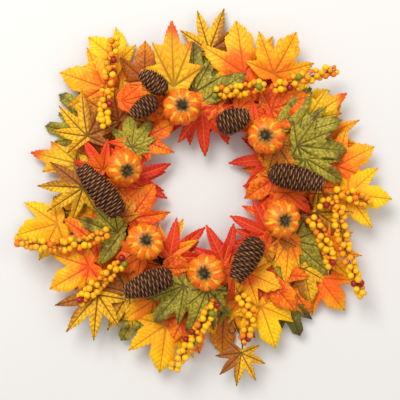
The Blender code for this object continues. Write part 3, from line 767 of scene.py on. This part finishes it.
def makeCone(number, scales, core):
    # scales in a spiral from the wide base to the narrow end, and a bent post behind
    node = f"pine_cone_{number}"
    hour, outside, lean, length, girth = coneLayout[number - 1]
    long = length / 1000
    wide = coneLook["radius"] * girth
    middle = clockPoint(hour, outside, coneLook["depth"])
    along = clockHeading(hour, lean)
    stand = Matrix.Translation(middle) @ Vector((0, 0, 1)).rotation_difference(along).to_matrix().to_4x4()
    shape = bmesh.new()
    addCore(shape, stand, wide, long)
    count = int(length / coneLook["rowMm"] * coneLook["aroundRow"])
    for index in range(count):
        share = (index + 0.5) / count
        swell = coneSwell(share)
        size = math.sqrt(girth) * (0.62 + 0.38 * swell) * chance.uniform(0.93, 1.07)
        turn = index * math.radians(coneLook["turn"])
        lift = math.radians(coneLook["lift"] + coneLook["liftFall"] * (0.5 - share) + chance.uniform(-4, 4))
        rise = (share - 0.5) * long * coneLook["seatLong"]
        out = -wide * swell * coneLook["seatWide"]
        seat = (Matrix.Rotation(turn, 4, "Z") @ Matrix.Translation((0, out, rise))
                @ Matrix.Rotation(math.pi / 2 + lift, 4, "X"))
        addScale(shape, stand @ seat, size)
    foot = clockPoint(hour, 0, -ringTube * 1000)
    reach = long * coneLook["postReach"]
    near = middle + along * max(-reach, min(reach, (foot - middle).dot(along)))
    addStem(shape, [foot, Vector((near.x, foot.y, near.z)), near], coneLook["post"], 1)
    finishPiece(f"{node}_scales", shape, [scales, core], node)


# berry sprays: hour and mm outside the ring line of the root, middle and tip
sprayLayout = {
    "berry_spray_top_left": ((10.15, 48), (10.6, 75), (11.0, 120)),
    "berry_spray_top": ((0.2, 20), (0.70, 32), (1.0, 50)),
    "berry_spray_top_right": ((1.16, 52), (1.4, 88), (1.6, 125)),
    "berry_spray_right": ((3.05, 62), (3.05, 85), (3.15, 108)),
    "berry_spray_lower_right_1": ((3.47, 34), (3.65, 55), (4.0, 85)),
    "berry_spray_lower_right_2": ((3.2, 70), (3.7, 90), (4.1, 140)),
    "berry_spray_bottom_1": ((5.35, 35), (5.3, 65), (5.5, 95)),
    "berry_spray_bottom_2": ((5.75, 35), (6.0, 65), (6.3, 125)),
    "berry_spray_lower_left": ((7.6, 50), (7.6, 80), (7.6, 105)),
    "berry_spray_left": ((8.2, 45), (8.3, 90), (8.5, 140)),
}
# inset is the mm from the box's front to the wire, and step the distance between beads along it
sprayLook = {"radius": 0.0044, "step": 0.0023, "spread": 0.0070, "turn": 137.5, "budShare": 0.28,
             "budSize": 0.66, "wire": 0.0007, "stalk": 0.0005, "inset": 4.2, "arcSteps": 24}
# where the beads start, as a share of the way from the root to the layout's first point; 1 for the sprays
# that other pieces crowd
sprayStart = {"berry_spray_left": 0.35, "berry_spray_lower_left": 0.35, "berry_spray_top_left": 0.78,
              "berry_spray_lower_right_2": 0.55}


# where each hue starts on a scale from 0 to 1: yellow, lemon, orange, deep orange, dark red and green
berryHues = ((0.0, (0.93, 0.44, 0.003)), (0.35, (0.95, 0.52, 0.004)), (0.66, (0.90, 0.32, 0.004)),
             (0.84, (0.85, 0.19, 0.004)), (0.925, (0.30, 0.006, 0.010)), (0.965, (0.20, 0.24, 0.012)))


def berryPaint():
    paint = Nodes("berry_beads")
    bead = paint.layer("bead")
    speck = paint.noise(500, 2)
    hues = paint.add("ShaderNodeValToRGB")
    paint.join(bead[0], hues.inputs[0])
    hues.color_ramp.interpolation = "CONSTANT"
    while len(hues.color_ramp.elements) < len(berryHues):
        hues.color_ramp.elements.new(0.5)
    for element, (place, colour) in zip(hues.color_ramp.elements, berryHues):
        element.position = place
        element.color = (*colour, 1)
    colour = paint.over(hues.outputs[0], paint.ramp(speck, 0.52, 0.70), 0.25, (0.80, 0.22, 0.010))
    colour = paint.mix(paint.ramp(bead[1], 0.022, 0.010), colour, (0.16, 0.055, 0.008))
    paint.bump(speck, 0.12, 0.0003)
    return paint.done(colour, 0.34, 0.35)


def walkAlong(points, distance):
    # the point that far along a row of points, and the direction there
    cell = 0
    while cell < len(points) - 2 and distance > (points[cell + 1] - points[cell]).length:
        distance -= (points[cell + 1] - points[cell]).length
        cell += 1
    along = (points[cell + 1] - points[cell]).normalized()
    return points[cell] + along * distance, along


def addBead(shape, centre, out, radius, hue):
    # one berry with its dark end turned outwards; its UV layer holds its hue and the distance from that end
    bead = bmesh.new()
    bmesh.ops.create_uvsphere(bead, u_segments=10, v_segments=7, radius=radius)
    mark = bead.loops.layers.uv.new("bead")
    for face in bead.faces:
        for corner in face.loops:
            corner[mark].uv = (hue, 0.5 - corner.vert.co.z / radius / 2)
    aim = Vector((0, 0, 1)).rotation_difference(out).to_matrix().to_4x4()
    bmesh.ops.transform(bead, matrix=Matrix.Translation(centre) @ aim, verts=bead.verts)
    pourInto(shape, bead)


def makeSpray(node, beads, stem):
    # beads and small buds on stalks all round a wire, fullest at its middle
    root = jointPlace(node)
    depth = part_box(node)[0][1] * 1000 + sprayLook["inset"]
    first, middle, last = (clockPoint(hour, outside, depth) for hour, outside in sprayLayout[node])
    start = root.lerp(first, sprayStart.get(node, 1.0))
    start.y = first.y
    arc = [start] + bentPoints(first, middle, last, sprayLook["arcSteps"])
    length = sum((after - before).length for before, after in zip(arc[:-1], arc[1:]))
    shape = bmesh.new()
    addStem(shape, [root] + arc, sprayLook["wire"], 1)
    shape.loops.layers.uv.new("bead")
    count = int(length / sprayLook["step"])
    for index in range(count):
        share = (index + 0.5) / count
        base, along = walkAlong(arc, share * length)
        turn = index * math.radians(sprayLook["turn"]) + chance.uniform(-0.4, 0.4)
        side = along.cross(towardsFront).normalized()
        out = (side * math.cos(turn) + towardsFront * math.sin(turn) * 0.7 + along * 0.35).normalized()
        bulge = 0.70 + 0.30 * math.sin(math.pi * share)
        centre = base + out * sprayLook["spread"] * chance.uniform(0.8, 1.1) * bulge
        isBud = chance.random() < sprayLook["budShare"]
        radius = sprayLook["radius"] * (sprayLook["budSize"] if isBud else chance.uniform(0.88, 1.08))
        addStem(shape, [base - along * 0.002, centre], sprayLook["stalk"], 1, detail=0)
        hue = 0.66 + 0.26 * chance.random() if isBud else chance.random()
        addBead(shape, centre, out, radius, hue)
    finishPiece(node + "_beads", shape, [beads, stem], node)


ringLook = {"strands": 4, "strandRadius": 0.0042, "twists": 9, "spread": 0.0037, "steps": 200, "swells": 13,
            "swell": 0.12}


def makeRing(bark):
    # vines wound round each other, tighter and looser as they go
    shape = bmesh.new()
    for strand in range(ringLook["strands"]):
        points = []
        for step in range(ringLook["steps"]):
            share = step / ringLook["steps"]
            twist = 2 * math.pi * (share * ringLook["twists"] + strand / ringLook["strands"])
            swell = 1 + ringLook["swell"] * math.sin(2 * math.pi * ringLook["swells"] * share + strand)
            spread = ringLook["spread"] * swell * 1000
            points.append(clockPoint(12 * share, spread * math.cos(twist), spread * math.sin(twist)))
        addStem(shape, points, ringLook["strandRadius"], 0, cyclic=True, detail=3)
    finishPiece("vine_ring", shape, [bark], "ring_frame")


tapeLook = {"radius": 0.0093, "halfHours": 0.12, "halfSteps": 12, "wanderMm": 0.4}


def makeTape(number, paint):
    # a sleeve along the ring whose line wanders, so that its wraps look uneven
    node = f"floral_tape_{number}"
    low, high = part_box(node)
    middle = (Vector(low) + Vector(high)) / 2
    hour = math.degrees(math.atan2(middle.x, middle.z - ringHeight)) / 30
    half, wander = tapeLook["halfSteps"], tapeLook["wanderMm"]
    points = []
    for step in range(2 * half + 1):
        here = hour + (step - half) / half * tapeLook["halfHours"]
        points.append(clockPoint(here, wander * math.sin(step * 2.1), wander * math.cos(step * 1.7)))
    shape = bmesh.new()
    addStem(shape, points, tapeLook["radius"], 0, detail=5)
    finishPiece(f"tape_wrap_{number}", shape, [paint], node)


# radii of the eye and the wires, the drop from the eye to the leaf's hub and the gap under its tip, all in
# metres; the wire's and the curl's places are an hour, mm outside the ring line and mm of depth
hangLook = {"eye": 0.0032, "thinWire": 0.0007, "wire": 0.0009, "hubDrop": 0.0205, "tipGap": 0.001,
            "heading": (-0.16, 0, -1), "tilt": 12, "hour": 5.55, "wireOutside": (7, 56), "wireDepth": 3,
            "curlOutside": 80, "curlDepth": -16, "curlRadius": 0.0052, "curlSteps": 30, "curlTurn": 1.35}


def makeHangingLeaf(wirePaint):
    # the dangling leaf with its wire eye
    pivot = jointPlace("hanging_leaf")
    shape = bmesh.new()
    eye = []
    for step in range(24):
        turn = step * math.pi / 12
        eye.append(pivot + Vector((hangLook["eye"] * math.sin(turn), 0, hangLook["eye"] * math.cos(turn))))
    addStem(shape, eye, hangLook["thinWire"], 1, cyclic=True)
    top = pivot - Vector((0, 0, hangLook["eye"]))
    hub = pivot - Vector((0, 0, hangLook["hubDrop"]))
    addStem(shape, bentPoints(top, pivot + Vector((0.0015, 0.001, -0.012)), hub), hangLook["wire"], 1)
    length = hub.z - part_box("hanging_leaf")[0][2] - hangLook["tipGap"]
    heading = Vector(hangLook["heading"]).normalized()
    addLeaf(shape, "star", hub, heading, length, hangLook["tilt"], 0)
    finishPiece("hanging_leaf_cloth", shape, [paints["half"], wirePaint], "hanging_leaf")


def makeHangingWire(wirePaint):
    # the wire that the leaf swings on, which goes through the eye, and its curled end
    pivot = jointPlace("hanging_leaf")
    hour = hangLook["hour"]
    foot, belly = (clockPoint(hour, outside, hangLook["wireDepth"]) for outside in hangLook["wireOutside"])
    shape = bmesh.new()
    route = bentPoints(foot, belly, pivot + Vector((0, 0.003, 0)), 16)
    addStem(shape, route + [pivot, pivot + towardsFront * hangLook["eye"]], hangLook["wire"], 0)
    middle = clockPoint(hour, hangLook["curlOutside"], hangLook["curlDepth"])
    steps = hangLook["curlSteps"]
    curl = []
    for step in range(steps):
        turn = (0.25 - step / (steps - 1) * hangLook["curlTurn"]) * math.pi
        reach = hangLook["curlRadius"] * (1 - step / steps / 3)
        curl.append(middle + Vector((reach * math.cos(turn) - 0.005, 0.0003 * step, reach * math.sin(turn))))
    addStem(shape, curl, hangLook["thinWire"], 0)
    finishPiece("hanging_wire_curl", shape, [wirePaint], "hanging_leaf_wire")


cameraLook = {"coverMm": 520, "lens": 85, "sensor": 36, "rightMm": -2.6, "downMm": 12, "clear": 0.02}
# how far the wall stands behind the ring and the floor below it, and half their sizes
roomLook = {"wallBehind": 0.0125, "wallHalf": 2.5, "floorBelow": 1.1, "floorHalf": 4}
skyLook = {"colour": (1.0, 0.985, 0.955, 1), "strength": 0.60}
# place, size and power
lampLook = {"key": ((-0.6, -1.7, 1.0), 1.1, 36), "fill": ((1.4, -1.8, 0.1), 1.4, 10)}


def makeCamera():
    scene = bpy.context.scene
    scene.view_settings.view_transform = "Standard"
    away = cameraLook["coverMm"] / 1000 * cameraLook["lens"] / cameraLook["sensor"]
    camera = bpy.data.objects.new("camera", bpy.data.cameras.new("camera"))
    camera.data.lens = cameraLook["lens"]
    camera.data.sensor_width = cameraLook["sensor"]
    camera.location = (cameraLook["rightMm"] / 1000, -away - cameraLook["clear"],
                       ringHeight - cameraLook["downMm"] / 1000)
    camera.rotation_euler = (math.pi / 2, 0, 0)
    scene.collection.objects.link(camera)
    scene.camera = camera


def makeWallPaint():
    # the wall shows only from the front: from behind it lets the wreath's back show, and light passes
    # through it
    paint = Nodes("pale_wall")
    paint.done(paint.mix(paint.noise(3, 2), (0.70, 0.685, 0.665), (0.74, 0.725, 0.705)), 0.9, 0.1)
    clear = paint.add("ShaderNodeBsdfTransparent")
    blend = paint.add("ShaderNodeMixShader")
    unseen = paint.calc("SUBTRACT", 1.0, paint.add("ShaderNodeLightPath").outputs["Is Camera Ray"])
    behind = paint.add("ShaderNodeNewGeometry").outputs["Backfacing"]
    paint.join(paint.calc("MAXIMUM", behind, unseen), blend.inputs[0])
    paint.join(paint.shader.outputs[0], blend.inputs[1])
    paint.join(clear.outputs[0], blend.inputs[2])
    paint.join(blend.outputs[0], paint.tree.nodes["Material Output"].inputs["Surface"])
    return paint.material


def makeRoom():
    paint = makeWallPaint()
    wall = bmesh.new()
    bmesh.ops.create_grid(wall, x_segments=1, y_segments=1, size=roomLook["wallHalf"],
                          matrix=Matrix.Translation((0, roomLook["wallBehind"], 0)) @ turnToFront)
    floor = bmesh.new()
    bmesh.ops.create_grid(floor, x_segments=1, y_segments=1, size=roomLook["floorHalf"],
                          matrix=Matrix.Translation((0, 0, -roomLook["floorBelow"])))
    for name, shape in (("wall", wall), ("floor", floor)):
        item = addObject(name, shape, [paint])


def makeLight():
    scene = bpy.context.scene
    sky = bpy.data.worlds.new("sky")
    sky.use_nodes = True
    background = sky.node_tree.nodes["Background"]
    background.inputs[0].default_value = skyLook["colour"]
    background.inputs[1].default_value = skyLook["strength"]
    scene.world = sky
    for name, (place, size, power) in lampLook.items():
        lamp = bpy.data.lights.new(name, "AREA")
        lamp.size = size
        lamp.energy = power
        item = bpy.data.objects.new(name, lamp)
        item.location = place
        aim = Vector((0, 0, ringHeight)) - Vector(place)
        item.rotation_euler = aim.to_track_quat("-Z", "Y").to_euler()
        scene.collection.objects.link(item)


makeCamera()
makeRoom()
makeLight()
print("studio set")
bark = plainPaint("vine_bark", (0.012, 0.008, 0.006), (0.060, 0.034, 0.018), 120, 0.8, 0.7)
tape = plainPaint("floral_tape", (0.010, 0.008, 0.006), (0.030, 0.024, 0.016), 90, 0.6, 0.5)
makeRing(bark)
for number in (1, 2, 3):
    makeTape(number, tape)
print("ring and tape made")
skin = pumpkinPaint()
wood = plainPaint("stalk_wood", (0.018, 0.012, 0.006), (0.110, 0.080, 0.030), 300, 0.85, 0.8)
for number in range(1, 7):
    makePumpkin(number, skin, wood)
print("pumpkins made")
scales = conePaint()
core = plainPaint("cone_core", (0.020, 0.008, 0.004), (0.050, 0.020, 0.010), 200, 0.9)
for number in range(1, 8):
    makeCone(number, scales, core)
print("cones made")
extraLeaves = fillLeaves()
for node in pickLeaves:
    makePick(node, list(pickLeaves[node]) + extraLeaves[node])
makeHangingLeaf(stemPaint)
makeHangingWire(stemPaint)
print("leaves made")
beads = berryPaint()
for node in sprayLayout:
    makeSpray(node, beads, greenStemPaint)
print("berries made")
